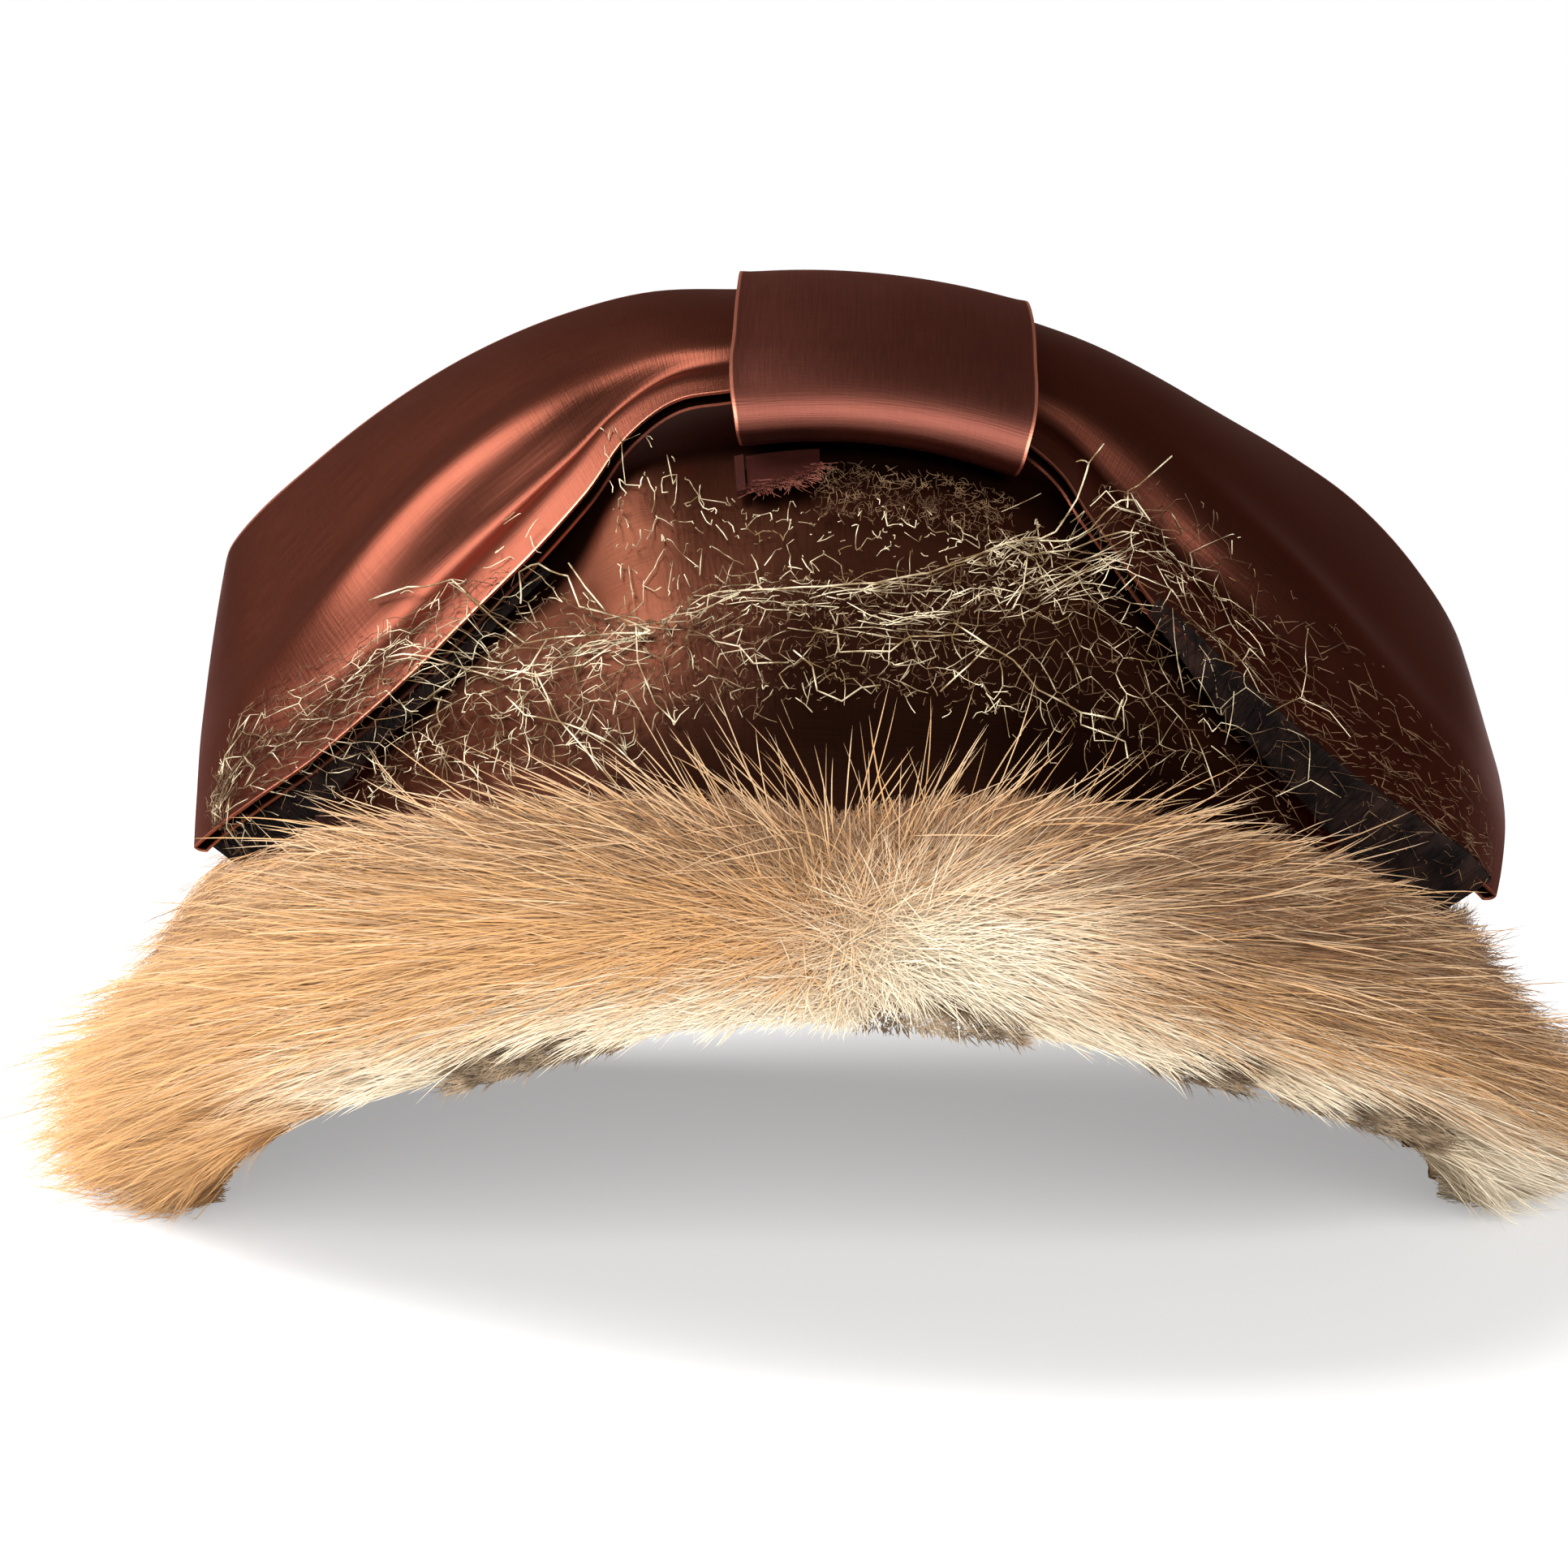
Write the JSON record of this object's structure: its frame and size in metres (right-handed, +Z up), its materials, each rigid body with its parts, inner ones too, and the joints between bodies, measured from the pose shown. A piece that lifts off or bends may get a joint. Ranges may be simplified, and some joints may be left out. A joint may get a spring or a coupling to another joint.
{
  "type": "half hat",
  "caption": "Half hat: a curved satin crown with a wide fur brim band, a large satin ribbon bow knotted off centre over the front, and a coarse veil laid over it.",
  "frame": {"origin": "middle of the hat's outer box seen from above, at the height of the surface that it rests on", "axes": "+X to the right as seen by someone who faces the bow, +Y from the bow and the fur at the front to the open back edge, +Z up"},
  "size_m": [0.2176, 0.1438, 0.1169],
  "materials": {
    "satin": "lustrous satin ribbon, dark reddish brown",
    "crown_satin": "satin cloth, copper brown, slightly dimpled",
    "fur": "long soft fur, golden tan with brown tips and cream underfur",
    "veil_thread": "dull cream thread",
    "dark_net": "dull, nearly black thread"
  },
  "bodies": {
    "root": {"crown": "crown_satin", "fur_band": "fur", "bow_loop_left": "satin", "bow_loop_right": "satin", "bow_knot": "satin", "bow_tail": "satin", "veil": "veil_thread", "net_gather_left": "dark_net", "net_gather_right": "dark_net"}
  },
  "joints": []
}
